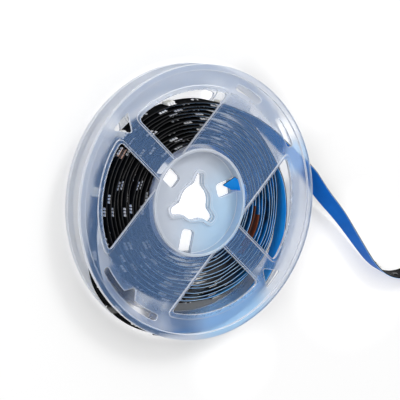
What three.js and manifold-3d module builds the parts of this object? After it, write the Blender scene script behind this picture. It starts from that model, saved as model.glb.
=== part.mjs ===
// A reel of LED strip light: a moulded plastic reel in two halves, wound with a black LED strip on its blue liner.
// Millimetres. The reel lies on its rear flange: +Z is the reel's axis, and the origin is on that axis, at the
// plane that the reel lies on. +Y is the upper side of the reel as it is seen from the front.
import * as THREE from 'three';
import { mergeVertices } from 'three/addons/utils/BufferGeometryUtils.js';
import Module from 'manifold-3d';

const wasm = await Module();
wasm.setup();

const degree = Math.PI / 180;
const hookAngles = [0, 120 * degree, 240 * degree];
const lobeAngles = hookAngles.map((angle) => angle + 60 * degree);

// The strip and its backing liner
const stripWidth = 10;
const stripThickness = 0.5;
const linerThickness = 0.4;
const bondGap = 0.3;
const seatGap = 0.3;

// The LED packages and the resistors between them
const ledPitch = 33.3;
const ledSide = 5;
const ledHeight = 1.6;
const resistorLength = 3.2;
const resistorWidth = 1.6;
const resistorHeight = 0.6;
const firstTurnLed = 13;
const firstTailLed = 8;

// The reel's flanges
const flangeRadius = 75;
const sideClearance = 0.3;
const plateThickness = 1.2;
const rimBeadWidth = 3.2;
const rimBeadHeight = 1.5;

// The four windows of a flange, which leave a wide band and two narrow spokes
const windowEdgeWidth = 14;
const bandHalfWidth = 26.6;
const spokeHalfWidth = 7.8;
const windowCorner = 3;
const borderHeight = 0.6;
const borderWidth = 2.6;
const spokeBorderWidth = 1.2;

// The slots and small holes near the rim
const slotInset = 6.8;
const slotWidth = 3.8;
const longSlotHalfAngle = 19.4;
const splitSlotNearAngle = 6.3;
const splitSlotFarAngle = 22.3;
const notchDepth = 4.8;
const notchHalfWidth = 4.4;
const notchTipHalfWidth = 1;
const spokeHoleDepth = 10;
const spokeHoleHalfWidth = 6.4;
const spokeHoleCorner = 1.2;

// The hub
const hubMouthRadius = 27.9;
const hubWall = 1.4;
const hubLipHeight = 1.1;
const floorThickness = 1.2;
const halvesGap = 0.3;
const hookHoleInner = 15.5;
const hookHoleWidth = 8;
const hookHoleCorner = 2.5;
const spindleRadius = 9.8;
const lobeReach = 16;
const lobeHalfWidth = 2.6;
const lobeTipHalfWidth = 2.1;
const lobeRootHalfAngle = 30;
const lobeNeckRise = 1.5;
const lobeNeckFlare = 0.8;
const collarWall = 1.5;
const collarHeight = 1.2;

// The winding. A turn takes the strip, its liner and this much slack.
const turnSlack = 0.8;
const hubTurnGap = 0.6;
const stepsPerTurn = 30;
const looseSteps = 40;
const tuckSteps = 8;
const tailSteps = 52;
const circleSegments = 64;
const cornerSteps = 3;
const cornerRoom = 1.6;
const weldDistance = 1e-5;

// How far inside the rim the outside of the wound turns lies, on average, and how far it wanders to each side
const woundInset = 20;
const woundShiftX = -3.75;
const woundShiftY = -2;
const woundStartAngle = 0;
const woundEndAngle = 36;

// The narrow spokes point this way, seen from the front
const spokeAngle = 136.5;

const channelHalf = stripWidth / 2 + sideClearance;
const plateTop = channelHalf + plateThickness;
const halfWidth = plateTop + rimBeadHeight;
const hubOuterRadius = hubMouthRadius + hubWall;
const floorBottom = halvesGap / 2;
const floorTop = floorBottom + floorThickness;
const windowRadius = flangeRadius - windowEdgeWidth;
const innerTurnRadius = hubOuterRadius + hubTurnGap + linerThickness + bondGap + stripThickness / 2;
const turnPitch = stripThickness + bondGap + linerThickness + turnSlack;
const turnCount = Math.floor((flangeRadius - woundInset - innerTurnRadius) / turnPitch);

// The strip's inner end is tucked through the hook hole in the hub: its angle in degrees and how far outside the
// hub's mouth it lies
const tuckedEnd = [[22.5, -2.5], [18.5, -0.9], [14.5, 1], [9, 2.65]];

// The last turn has sprung away from the roll: its angle in degrees and how far it lies inside the rim
const looseTurn = [
  [20, 20.9], [9, 18], [-2, 16], [-14, 14.3], [-30, 11.8], [-50, 8.8], [-78, 5.8], [-105, 3.4],
  [-125, 2.6], [-145, 4.4], [-165, 8.8], [-182, 12.4], [-202, 14.2], [-222, 16.2], [-242, 18.2],
  [-258, 19.6], [-274, 20], [-288, 19.7],
];

// The free end of the strip: x, y, z and the turn of its LED side from facing outwards (0) to facing up (90)
const tailRoute = [
  [27.3, 48.8, 8, 0], [38, 43.5, 8, -8], [47.6, 37.1, 8, -14], [55.4, 30.7, 8, -19], [62.2, 24.6, 8, -22],
  [68.3, 19.2, 8, -26], [73.9, 14.4, 8, -31], [78.9, 9.3, 7.9, -35], [83, 4.1, 7.7, -35.5],
  [87.9, -1.9, 7.5, -34], [93.8, -8.1, 7.2, -30], [100.3, -14.8, 6.8, -22.6], [106.7, -22.2, 6.4, -13],
  [113, -30, 6.1, -6], [119.1, -37.5, 5.8, 0], [124.5, -43.7, 5.6, 4.4], [130.6, -49, 5.4, 9],
  [136.8, -52.4, 5.3, 13], [143.3, -54.1, 5.2, 16.5], [150, -54.2, 5.1, 21], [157.5, -53.2, 4.9, 30],
  [166, -51, 4.2, 47], [176, -47.6, 2.8, 68], [188, -43, 1.3, 87], [202, -38, 1, 90], [215, -34, 1, 90],
];

function plastic(color, roughness, opacity = 1) {
  return new THREE.MeshStandardMaterial({ color, roughness, metalness: 0, opacity, transparent: opacity < 1 });
}

const materials = {
  reel: plastic(0xd4dae6, 0.35, 0.6),
  strip: plastic(0x0b0c0e, 0.4),
  liner: plastic(0x1263bd, 0.45),
  led: plastic(0xf0efe6, 0.4),
  resistor: plastic(0x1a1a1c, 0.5),
};

// Solids from geometries and back
function toSolid(geometry) {
  const bare = geometry.index ? geometry.clone() : geometry;
  bare.deleteAttribute('normal');
  bare.deleteAttribute('uv');
  const merged = mergeVertices(bare, weldDistance);
  return new wasm.Manifold(new wasm.Mesh({
    numProp: 3,
    vertProperties: new Float32Array(merged.attributes.position.array),
    triVerts: new Uint32Array(merged.index.array),
  }));
}

function toGeometry(solid) {
  const mesh = solid.getMesh();
  const geometry = new THREE.BufferGeometry();
  geometry.setAttribute('position', new THREE.BufferAttribute(new Float32Array(mesh.vertProperties), 3));
  geometry.setIndex(new THREE.BufferAttribute(new Uint32Array(mesh.triVerts), 1));
  geometry.computeVertexNormals();
  return geometry;
}

function polar(radius, angle) {
  return new THREE.Vector2(radius * Math.cos(angle), radius * Math.sin(angle));
}

// A polygon whose corners are rounded with small arcs. Each corner is [point, radius].
function roundedOutline(corners, steps = cornerSteps) {
  const points = [];
  corners.forEach(([point, radius], index) => {
    const before = corners[(index + corners.length - 1) % corners.length][0];
    const after = corners[(index + 1) % corners.length][0];
    const toBefore = before.clone().sub(point).normalize();
    const toAfter = after.clone().sub(point).normalize();
    const half = Math.acos(THREE.MathUtils.clamp(toBefore.dot(toAfter), -1, 1)) / 2;
    if (radius === 0) {
      points.push(point);
      return;
    }
    const shortest = Math.min(before.distanceTo(point), after.distanceTo(point)) / 2;
    const back = Math.min(radius / Math.tan(half), shortest);
    const start = point.clone().addScaledVector(toBefore, back);
    const end = point.clone().addScaledVector(toAfter, back);
    for (let step = 0; step <= steps; step += 1) {
      const t = step / steps;
      const near = start.clone().lerp(point, t);
      points.push(near.lerp(point.clone().lerp(end, t), t));
    }
  });
  return points;
}

function arcPoints(radius, from, to, step = 360 * degree / circleSegments) {
  const count = Math.max(1, Math.ceil(Math.abs(to - from) / step));
  return Array.from({ length: count + 1 }, (_, index) => polar(radius, from + (to - from) * index / count));
}

function plate(outline, holes, bottom, top) {
  const shape = new THREE.Shape(outline);
  shape.holes = holes.map((points) => new THREE.Path(points));
  const geometry = new THREE.ExtrudeGeometry(shape, { depth: top - bottom, bevelEnabled: false });
  return toSolid(geometry.translate(0, 0, bottom));
}

function circle(radius) {
  return arcPoints(radius, 0, 2 * Math.PI).slice(0, -1);
}

// The reel half, in its own frame: +X along a narrow spoke, +Y along the end of the wide band that has the long
// slot, and z = 0 at the plane where the two halves meet

// One window, in the quarter where x and y have the given signs. Grown by the borders' widths it is the outline of
// the raised border.
function windowOutline(signX, signY, arcGrowth, sideGrowth, corner) {
  const radius = windowRadius + arcGrowth;
  const nearX = bandHalfWidth - sideGrowth;
  const nearY = spokeHalfWidth - sideGrowth;
  const low = Math.asin(nearY / radius);
  const high = Math.acos(nearX / radius);
  const arc = arcPoints(radius, low, high);
  const first = arc[0];
  const final = arc[arc.length - 1];
  // The rounded corners need room, so the points of the arc that lie close to its two ends are left out
  const room = cornerRoom * corner;
  const between = arc.filter((point) => point.distanceTo(first) > room && point.distanceTo(final) > room);
  const corners = [
    [first, corner],
    ...between.map((point) => [point, 0]),
    [final, corner],
    [new THREE.Vector2(nearX, nearY), windowCorner],
  ];
  const outline = roundedOutline(corners).map((point) => new THREE.Vector2(signX * point.x, signY * point.y));
  return signX * signY > 0 ? outline : outline.reverse();
}

// A slot along the rim, between two angles on either side of +Y or -Y
function slotOutline(middle, from, to) {
  const outer = flangeRadius - slotInset;
  const inner = outer - slotWidth;
  const end = slotWidth / 2 / outer;
  const outerArc = arcPoints(outer, middle + from + end / 2, middle + to - end / 2);
  const innerArc = arcPoints(inner, middle + to - end / 2, middle + from + end / 2);
  const tipAfter = polar((outer + inner) / 2, middle + to + end / 2);
  const tipBefore = polar((outer + inner) / 2, middle + from - end / 2);
  return [...outerArc, tipAfter, ...innerArc, tipBefore];
}

// The long slot has a notch towards the hub in its middle, where a hook on the mould's other side was drawn
function longSlotOutline() {
  const outer = flangeRadius - slotInset;
  const inner = outer - slotWidth;
  const half = longSlotHalfAngle * degree;
  const end = slotWidth / 2 / outer;
  const notch = Math.asin(notchHalfWidth / inner);
  const middle = Math.PI / 2;
  const tip = inner - notchDepth;
  return [
    ...arcPoints(outer, middle - half + end / 2, middle + half - end / 2),
    polar((outer + inner) / 2, middle + half + end / 2),
    ...arcPoints(inner, middle + half - end / 2, middle + notch),
    new THREE.Vector2(-notchTipHalfWidth, tip),
    new THREE.Vector2(notchTipHalfWidth, tip),
    ...arcPoints(inner, middle - notch, middle - half + end / 2),
    polar((outer + inner) / 2, middle - half - end / 2),
  ];
}

// A rounded triangle at the end of a narrow spoke, its point towards the hub
function spokeHoleOutline(sign) {
  const outer = flangeRadius - slotInset;
  const half = Math.asin(spokeHoleHalfWidth / outer);
  const corners = [
    [polar(outer, -half), spokeHoleCorner],
    [polar(outer, 0), 0],
    [polar(outer, half), spokeHoleCorner],
    [new THREE.Vector2(outer - spokeHoleDepth, 0), spokeHoleCorner],
  ];
  const outline = roundedOutline(corners);
  return sign > 0 ? outline : outline.map((point) => new THREE.Vector2(-point.x, -point.y));
}

// The spindle hole: a circle with three lobes, each with a flared neck and a round end
function spindleOutline(growth) {
  const radius = spindleRadius + growth;
  const root = lobeRootHalfAngle * degree;
  const neckRadius = radius * Math.cos(root) + lobeNeckRise;
  const neckHalf = lobeHalfWidth + growth + lobeNeckFlare;
  const tipHalf = lobeTipHalfWidth + growth;
  const points = [];
  for (const middle of lobeAngles) {
    const right = middle - Math.PI / 2;
    const left = middle + Math.PI / 2;
    points.push(...roundedOutline([
      [polar(radius, middle - root), 0],
      [polar(neckRadius, middle).add(polar(neckHalf, right)), lobeNeckRise],
      [polar(lobeReach + growth, middle).add(polar(tipHalf, right)), tipHalf],
      [polar(lobeReach + growth, middle).add(polar(tipHalf, left)), tipHalf],
      [polar(neckRadius, middle).add(polar(neckHalf, left)), lobeNeckRise],
      [polar(radius, middle + root), 0],
    ]));
    points.push(...arcPoints(radius, middle + root, middle + 2 * Math.PI / 3 - root).slice(1, -1));
  }
  return points;
}

// A hole in the hub's floor that runs into the wall, one at each of three angles between the lobes
function hookHoleOutline(angle) {
  const corners = [
    [new THREE.Vector2(hookHoleInner, -hookHoleWidth / 2), hookHoleCorner],
    [new THREE.Vector2(hubMouthRadius, -hookHoleWidth / 2), 0],
    [new THREE.Vector2(hubMouthRadius, hookHoleWidth / 2), 0],
    [new THREE.Vector2(hookHoleInner, hookHoleWidth / 2), hookHoleCorner],
  ];
  return roundedOutline(corners).map((point) => point.rotateAround(new THREE.Vector2(), angle));
}

function reelHalf() {
  const slots = [
    longSlotOutline(),
    slotOutline(-Math.PI / 2, splitSlotNearAngle * degree, splitSlotFarAngle * degree),
    slotOutline(-Math.PI / 2, -splitSlotFarAngle * degree, -splitSlotNearAngle * degree),
    spokeHoleOutline(1),
    spokeHoleOutline(-1),
  ];
  let half = plate(circle(flangeRadius), slots, channelHalf, plateTop);
  const beadRoot = channelHalf + plateThickness / 2;
  half = half.add(plate(circle(flangeRadius), [circle(flangeRadius - rimBeadWidth)], beadRoot, halfWidth));

  for (const [x, y] of [[1, 1], [-1, 1], [-1, -1], [1, -1]]) {
    const border = windowOutline(x, y, borderWidth, spokeBorderWidth, windowCorner + borderWidth);
    half = half.add(plate(border, [], beadRoot, plateTop + borderHeight));
    half = half.subtract(plate(windowOutline(x, y, 0, 0, windowCorner), [], 0, halfWidth));
  }
  half = half.subtract(plate(circle(hubMouthRadius), [], 0, halfWidth));

  const floorMiddle = floorBottom + floorThickness / 2;
  const floorHoles = [spindleOutline(0), ...hookAngles.map(hookHoleOutline)];
  const floor = plate(circle(hubOuterRadius), floorHoles, floorBottom, floorTop);
  const wall = plate(circle(hubOuterRadius), [circle(hubMouthRadius)], floorMiddle, plateTop + hubLipHeight);
  const collar = plate(spindleOutline(collarWall), [spindleOutline(0)], floorMiddle, floorTop + collarHeight);
  half = half.add(wall).add(floor).add(collar);

  // The hook holes run on through the wall, from the flange's inner face down past the floor
  for (const angle of hookAngles) {
    const opening = new THREE.BoxGeometry(3 * hubWall, hookHoleWidth, channelHalf);
    opening.translate(hubMouthRadius + hubWall / 2, 0, channelHalf / 2);
    half = half.subtract(toSolid(opening.rotateZ(angle)));
  }
  return toGeometry(half);
}

// The winding

// A flat ribbon with square edges. Each station holds its point, its outward normal and its width direction.
function ribbonGeometry(stations, width, thickness, offset) {
  const positions = [];
  for (const { point, out, across } of stations) {
    for (const [layer, side] of [[-1, -1], [1, -1], [1, 1], [-1, 1]]) {
      const corner = point.clone();
      corner.addScaledVector(out, offset + layer * thickness / 2);
      corner.addScaledVector(across, side * width / 2);
      positions.push(corner.x, corner.y, corner.z);
    }
  }
  const triangles = [];
  for (let index = 0; index + 1 < stations.length; index += 1) {
    for (let edge = 0; edge < 4; edge += 1) {
      const a = 4 * index + edge;
      const b = 4 * index + (edge + 1) % 4;
      triangles.push(a, b, b + 4, a, b + 4, a + 4);
    }
  }
  const last = 4 * (stations.length - 1);
  triangles.push(0, 2, 1, 0, 3, 2, last, last + 1, last + 2, last, last + 2, last + 3);
  const geometry = new THREE.BufferGeometry();
  geometry.setAttribute('position', new THREE.Float32BufferAttribute(positions, 3));
  geometry.setIndex(triangles);
  geometry.computeVertexNormals();
  return geometry;
}

// The middle of the strip at a turning angle from the hub outwards. The strip winds clockwise seen from the front.
const woundAngle = turnCount * 2 * Math.PI - (woundEndAngle - woundStartAngle) * degree;

function woundPoint(turned) {
  const angle = woundStartAngle * degree - turned;
  const outer = flangeRadius - woundInset + woundShiftX * Math.cos(angle) + woundShiftY * Math.sin(angle);
  const radius = innerTurnRadius + (outer - innerTurnRadius) * turned / (turnCount * 2 * Math.PI);
  return new THREE.Vector3(radius * Math.cos(angle), radius * Math.sin(angle), halfWidth);
}

function rollPoints() {
  const tucked = tuckedEnd.map(([angle, outside]) => {
    const { x, y } = polar(hubMouthRadius + outside, angle * degree);
    return new THREE.Vector3(x, y, halfWidth);
  });
  const wound = [];
  const count = Math.round(turnCount * stepsPerTurn);
  for (let index = 0; index <= count; index += 1) {
    wound.push(woundPoint(woundAngle * index / count));
  }
  const [exitX, exitY] = tailRoute[0];
  const loose = looseTurn.map(([angle, inset]) => {
    const { x, y } = polar(flangeRadius - inset, angle * degree);
    return new THREE.Vector3(x, y, halfWidth);
  });
  const guide = [...wound.slice(-4), ...loose, new THREE.Vector3(exitX, exitY, halfWidth)];
  const curve = new THREE.CatmullRomCurve3(guide, false, 'centripetal');
  const tuck = new THREE.CatmullRomCurve3([...tucked, ...wound.slice(0, 3)], false, 'centripetal');
  return [
    ...tuck.getSpacedPoints(tuckSteps), ...wound.slice(3, -4), ...curve.getSpacedPoints(looseSteps),
  ];
}

// Normals that point away from the reel's axis in the plane of the winding
function flatStations(points) {
  return points.map((point, index) => {
    const before = points[Math.max(index - 1, 0)];
    const after = points[Math.min(index + 1, points.length - 1)];
    const along = after.clone().sub(before).normalize();
    return { point, out: new THREE.Vector3(-along.y, along.x, 0), across: new THREE.Vector3(0, 0, 1), along };
  });
}

function tailStations() {
  const curve = new THREE.CatmullRomCurve3(
    tailRoute.map(([x, y, z]) => new THREE.Vector3(x, y, z - tailRoute[0][2] + halfWidth)), false, 'centripetal',
  );
  const last = tailRoute.length - 1;
  return Array.from({ length: tailSteps + 1 }, (_, index) => {
    const t = curve.getUtoTmapping(index / tailSteps);
    const point = curve.getPoint(t);
    const along = curve.getTangent(t);
    const slot = Math.min(Math.floor(t * last), last - 1);
    const turn = THREE.MathUtils.lerp(tailRoute[slot][3], tailRoute[slot + 1][3], t * last - slot) * degree;
    const flat = new THREE.Vector3(-along.y, along.x, 0).normalize();
    const upright = new THREE.Vector3().crossVectors(along, flat);
    upright.multiplyScalar(Math.sign(upright.z));
    const out = flat.clone().multiplyScalar(Math.cos(turn)).addScaledVector(upright, Math.sin(turn));
    const across = upright.clone().multiplyScalar(Math.cos(turn)).addScaledVector(flat, -Math.sin(turn));
    return { point, out, across, along };
  });
}

const linerOffset = -(stripThickness / 2 + bondGap + linerThickness / 2);

const reel = new THREE.Group();

function addPiece(name, geometry, material) {
  const mesh = new THREE.Mesh(geometry, material);
  mesh.name = name;
  reel.add(mesh);
  return mesh;
}

// The reel: two equal halves, the rear one turned over about the line of the narrow spokes
const front = new THREE.Group();
front.position.z = halfWidth;
front.rotation.z = spokeAngle * degree;
reel.add(front);
const rear = new THREE.Group();
rear.rotation.x = Math.PI;
front.add(rear);
const halfGeometry = reelHalf();
const frontHalf = new THREE.Mesh(halfGeometry, materials.reel);
frontHalf.name = 'front_reel_half';
front.add(frontHalf);
const rearHalf = new THREE.Mesh(halfGeometry.clone(), materials.reel);
rearHalf.name = 'rear_reel_half';
rear.add(rearHalf);

// The strip and the liner: the wound roll with its loose last turn, and the free end
const endGap = 0.3;
const roll = flatStations(rollPoints());
addPiece('led_strip_roll', ribbonGeometry(roll, stripWidth, stripThickness, 0), materials.strip);
addPiece('liner_roll', ribbonGeometry(roll, stripWidth, linerThickness, linerOffset), materials.liner);

const tail = tailStations();
tail[0].point.addScaledVector(tail[0].along, endGap);
addPiece('led_strip_tail', ribbonGeometry(tail, stripWidth, stripThickness, 0), materials.strip);
addPiece('liner_tail', ribbonGeometry(tail, stripWidth, linerThickness, linerOffset), materials.liner);

// LED packages on the outside of the loose turn and along the free end, with a resistor between each two
function placeAlong(stations, firstDistance, prefix) {
  const lengths = [0];
  for (let index = 1; index < stations.length; index += 1) {
    lengths.push(lengths[index - 1] + stations[index].point.distanceTo(stations[index - 1].point));
  }
  const total = lengths[lengths.length - 1];

  const place = (name, distance, [long, wide, high], material) => {
    const index = lengths.findIndex((length) => length > distance);
    const before = stations[index - 1];
    const after = stations[index];
    const share = (distance - lengths[index - 1]) / (lengths[index] - lengths[index - 1]);
    const point = before.point.clone().lerp(after.point, share);
    const out = before.out.clone().lerp(after.out, share);
    const along = after.point.clone().sub(before.point).normalize();
    const across = new THREE.Vector3().crossVectors(out, along).normalize();
    const normal = new THREE.Vector3().crossVectors(along, across);
    const mesh = addPiece(name, new THREE.BoxGeometry(long, wide, high), material);
    mesh.quaternion.setFromRotationMatrix(new THREE.Matrix4().makeBasis(along, across, normal));
    mesh.position.copy(point).addScaledVector(normal, stripThickness / 2 + seatGap + high / 2);
  };

  let number = 1;
  for (let distance = firstDistance; distance < total - ledSide; distance += ledPitch) {
    const label = String(number).padStart(2, '0');
    place(`${prefix}_led_${label}`, distance, [ledSide, ledSide, ledHeight], materials.led);
    if (distance + ledPitch / 2 < total - resistorLength) {
      const size = [resistorLength, resistorWidth, resistorHeight];
      place(`${prefix}_resistor_${label}`, distance + ledPitch / 2, size, materials.resistor);
    }
    number += 1;
  }
}

placeAlong(roll.slice(-looseSteps), firstTurnLed, 'turn');
placeAlong(tail, firstTailLed, 'tail');

export default reel;
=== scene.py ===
"""The looks of a reel of LED strip light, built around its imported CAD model.

Everything is in metres, in the frame of the CAD model: the reel lies on its rear flange, and +Z is its axis.
The sizes below repeat those of the CAD source in millimetres, and MM turns them into metres."""

import math

import bmesh
import bpy
import numpy as np
from mathutils import Matrix, Vector, noise


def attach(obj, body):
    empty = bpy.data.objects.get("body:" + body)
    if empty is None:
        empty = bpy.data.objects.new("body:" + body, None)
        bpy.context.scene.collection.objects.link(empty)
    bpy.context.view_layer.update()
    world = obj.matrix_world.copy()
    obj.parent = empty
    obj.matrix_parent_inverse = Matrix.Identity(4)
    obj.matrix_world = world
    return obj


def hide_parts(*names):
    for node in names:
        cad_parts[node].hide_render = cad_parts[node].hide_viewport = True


MM = 0.001

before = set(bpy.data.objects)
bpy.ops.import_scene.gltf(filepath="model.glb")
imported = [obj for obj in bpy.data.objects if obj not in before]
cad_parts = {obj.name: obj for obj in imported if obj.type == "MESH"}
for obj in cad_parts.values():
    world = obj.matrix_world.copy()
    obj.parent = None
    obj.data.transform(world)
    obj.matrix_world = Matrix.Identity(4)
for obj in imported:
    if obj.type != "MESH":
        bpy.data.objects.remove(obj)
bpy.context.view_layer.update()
scene = bpy.context.scene

# The strip and its liner
STRIP_WIDTH = 10
STRIP_THICKNESS = 0.5
STRIP_CHAMFER = 0.08
LINER_THICKNESS = 0.22
LINER_SEAT = 0.02
LINER_CHAMFER = 0.03
TAIL_LINER_WIDTH = 9.9
WOUND_LINER_WIDTH = 9.6
# The wound liner lies a little off the strip's middle, and rises towards one side of the roll, in degrees
LINER_OFFSET = -0.15
LINER_TILT = 0.45
LINER_HIGH_SIDE = -50
# Stretches of brown film in the liner's place, and the turns between which the liner is painted black in
# places as painted shade
FILM_TURNS = ((4 + 5 / 360, 4 + 42 / 360), (5 + 12 / 360, 5 + 46 / 360))
SHADED_TURNS = (0.15, 11.1)

# The LED packages. Those in the tight turns and the first ones of the loose turn have dark cases, painted
# shade, as they lie between the turns.
LED_PITCH = 33.3
LED_SIDE = 5
LED_HEIGHT = 1.6
WOUND_LED_HEIGHT = 0.85
LED_BEVEL = 0.22
LED_CLEARANCE = 0.1
FIRST_TURN_LED = 18
INNER_LED_LIMIT = 40
LOOSE_STEPS = 40
SHADED_LEDS = 8
TAIL_FIRST_LED = 8
TAIL_LED_COUNT = 7
LENS_RADIUS = 1.75
LENS_HEIGHT = 0.16
LENS_SINK = 0.02
LENS_RINGS = ((1.0, 0.0), (0.97, 0.6), (0.8, 0.86), (0.45, 1.0))
FOOT_LENGTH = 1.1
FOOT_WIDTH = 0.8
FOOT_BEVEL = 0.16
FOOT_HEIGHT_SHARE = 0.8
FOOT_PITCH = 1.7
FOOT_REACH = 2.75
FILLET_REACH = 3.5

# Small boxes, as length, width, height and bevel, and how far from its part's middle each lies
FILLET = (1.3, 1.4, 0.34, 0.12)
CHIP_BODY = (2.1, 1.6, 0.55, 0.1)
CHIP_CAP = (0.62, 1.62, 0.58, 0.12)
CHIP_CAP_REACH = 1.28
CHIP_SOLDER = (0.6, 1.9, 0.2, 0.08)
CHIP_SOLDER_REACH = 1.75
PAD = (2.7, 1.6, 0.12, 0.04)
PAD_REACH = 1.45
PAD_ROW = 1.2
PAD_TURNS = (10 + 212 / 360, 11 + 212 / 360)
TAIL_PADS_AT = (16.35, 116.2)
END_PADS_INSET = 2.2

# The reel
FLANGE_RADIUS = 75
HALF_WIDTH = 8
CHANNEL_HALF = 5.3
PLATE_TOP = 6.5
BEAD_WIDTH = 3.2
WINDOW_RADIUS = 61
BAND_HALF_WIDTH = 26.6
SPOKE_HALF_WIDTH = 7.8
WINDOW_CORNER = 3
BORDER_HEIGHT = 0.6
BORDER_WIDTH = 2.6
SPOKE_BORDER_WIDTH = 1.2
SLOT_OUTER = 68.2
SLOT_INNER = 64.4
LONG_SLOT_HALF_ANGLE = 19.4
SPLIT_SLOT_ANGLES = (6.3, 22.3)
NOTCH_DEPTH = 4.8
NOTCH_HALF_WIDTH = 4.4
NOTCH_TIP_HALF_WIDTH = 1
SPOKE_HOLE_DEPTH = 10
SPOKE_HOLE_HALF_WIDTH = 6.4
SPOKE_HOLE_CORNER = 1.2
HUB_MOUTH = 27.9
HUB_OUTER = 29.3
HUB_TOP = 7.6
FLOOR_BOTTOM = 0.15
FLOOR_TOP = 1.35
HOOK_HOLE_INNER = 15.5
HOOK_HOLE_WIDTH = 8
HOOK_HOLE_CORNER = 2.5
SPINDLE_RADIUS = 9.8
LOBE_REACH = 16
LOBE_HALF_WIDTH = 2.6
LOBE_TIP_HALF_WIDTH = 2.1
LOBE_ROOT_HALF_ANGLE = 30
LOBE_NECK_RISE = 1.5
LOBE_NECK_FLARE = 0.8
LOBE_NECK_CORNER = 1.5
LOBE_ANGLES = (60, 180, 300)
HOOK_HOLE_ANGLES = (0, 120, 240)
COLLAR_WALL = 1.5
COLLAR_HEIGHT = 1.2
SPOKE_ANGLE = 136.5
# How far a spoke hole's arc keeps from its corners, and how far past its wall the hub's look reaches
SPOKE_HOLE_MARGIN = 2
HUB_MARGIN = 0.1
# A face of a reel half whose normal rises less than this counts as an edge
EDGE_NORMAL_LIMIT = 0.5

# How far joined bodies reach into each other, and how far a cut goes past what it cuts
OVERLAP = 0.6
CUT_PAST = 1
# How many corner radii an arc's points keep from its ends, so that there is room for the rounding
CORNER_ROOM = 1.6
EDGE_BEVEL = 0.22
EDGE_BEVEL_ANGLE = 40
WELD_DISTANCE = 0.01
ARC_STEP = 1.5
SPINDLE_ARC_STEP = 4

# The winding: the tucked inner end, the tight turns, the loose last turn and the free end
TURN_COUNT = 12
INNER_TURN_RADIUS = 30.85
WOUND_OUTER = 55
WOUND_SHIFT = (-3.75, -2)
WOUND_END_ANGLE = 36
GUIDE_STEPS_PER_TURN = 30
TUCKED_END = [(22.5, -2.5), (18.5, -0.9), (14.5, 1), (9, 2.65)]
LOOSE_TURN = [
    (20, 20), (9, 17.6), (-2, 16), (-14, 14.3), (-30, 11.8), (-50, 8.6), (-78, 5.0), (-105, 2.0),
    (-125, 1.2), (-145, 2.8), (-165, 9), (-182, 13.2), (-202, 14.6), (-222, 16.2), (-242, 18.2),
    (-258, 19.6), (-274, 20), (-288, 19.7),
]
# How many of the wound guides the curves at both ends share, and how many stations each stretch has
JOIN_GUIDES = 3
FINE_STEPS = 5
TUCK_STATIONS = 24
LOOSE_STATIONS = 220
TAIL_STATIONS = 260

# How the tight turns wander, slowly and finely outwards and once along the axis: how fine the wander is over
# the reel and from turn to turn, where it starts in the noise, and how far it goes
SLOW_WANDER = (0.022, 0.95, (0, 0), 1.1)
FINE_WANDER = (0.075, 1.9, (9, 0), 0.7)
LIFT_WANDER = (0.05, 1.3, (31, 7), 0.45)
WANDER_EASE = 0.3
# Where slack turns lie further out, or further in: the middle of the stretch in degrees, the power of its
# falloff and the distance. The slack grows over SLACK_TURNS, and the bulge and the dent end over BULGE_END.
BULGE = (-20, 2.5, 5.2)
DENT = (-135, 4, -3)
CROWN = (48, 6, 3.4)
SLACK_TURNS = (2, 11)
BULGE_END = (11.88, 11.70)
# Where the turns lean, with the rear edge outwards: the same, with the lean in degrees. The loose turn leans
# over a stretch of its own, and the tucked end leans the other way over its first stations.
TOP_LEAN = (76, 6, 11)
BOTTOM_LEAN = (-98, 4, 12)
LEAN_START = (0.2, 2.2)
TOP_LEAN_END = (12.82, 12.76)
LOOSE_LEAN_MIDDLE = -127
LOOSE_LEAN_REACH = 45
LOOSE_LEAN = 16
TUCK_LEAN = -36
TUCK_LEAN_STATIONS = 20

# The free end: X, Y and Z of its middle line, and its turn in degrees from standing on edge
TAIL_ROUTE = [
    (27.3, 48.8, 8, 0), (38, 43.5, 8, -8), (47.6, 37.1, 8, -14), (55.4, 30.7, 8, -19), (62.2, 24.6, 8, -22),
    (68.3, 19.2, 8, -26), (73.9, 14.4, 8, -31), (78.9, 9.3, 7.9, -35), (83, 4.1, 7.7, -35.5),
    (87.9, -1.9, 7.5, -34), (93.8, -8.1, 7.2, -30), (100.3, -14.8, 6.8, -22.6), (106.7, -22.2, 6.4, -13),
    (113, -30, 6.1, -6), (119.1, -37.5, 5.8, 0), (124.5, -43.7, 5.6, 4.4), (130.6, -49, 5.4, 9),
    (136.8, -52.4, 5.3, 13), (143.3, -54.1, 5.2, 16.5), (150, -54.2, 5.1, 21), (157.5, -53.2, 4.9, 30),
    (166, -51, 4.2, 47), (176, -47.6, 2.8, 68), (188, -43, 1.3, 87), (202, -38, 1, 90), (215, -34, 1, 90),
]

CAMERA_BACK = (-0.541, 0.132, 0.830)
CAMERA_RIGHT = (0.838, 0, 0.546)
CAMERA_DISTANCE = 1.008
CAMERA_LENS = 167.0
CAMERA_SENSOR = 36
CAMERA_SHIFT = (0.01725, 0.00375)


def make_camera():
    """The camera of the photograph. It looks at the reel from the front, a little from the left and above."""
    back = Vector(CAMERA_BACK).normalized()
    right = Vector(CAMERA_RIGHT)
    right = (right - back * right.dot(back)).normalized()
    up = back.cross(right)
    data = bpy.data.cameras.new("photo_camera")
    data.lens = CAMERA_LENS
    data.sensor_width = CAMERA_SENSOR
    data.shift_x, data.shift_y = CAMERA_SHIFT
    camera = bpy.data.objects.new("photo_camera", data)
    place = Matrix((right, up, back)).transposed().to_4x4()
    place.translation = back * CAMERA_DISTANCE + Vector((0, 0, HALF_WIDTH * MM))
    camera.matrix_world = place
    scene.collection.objects.link(camera)
    scene.camera = camera


make_camera()


# Curves


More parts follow.
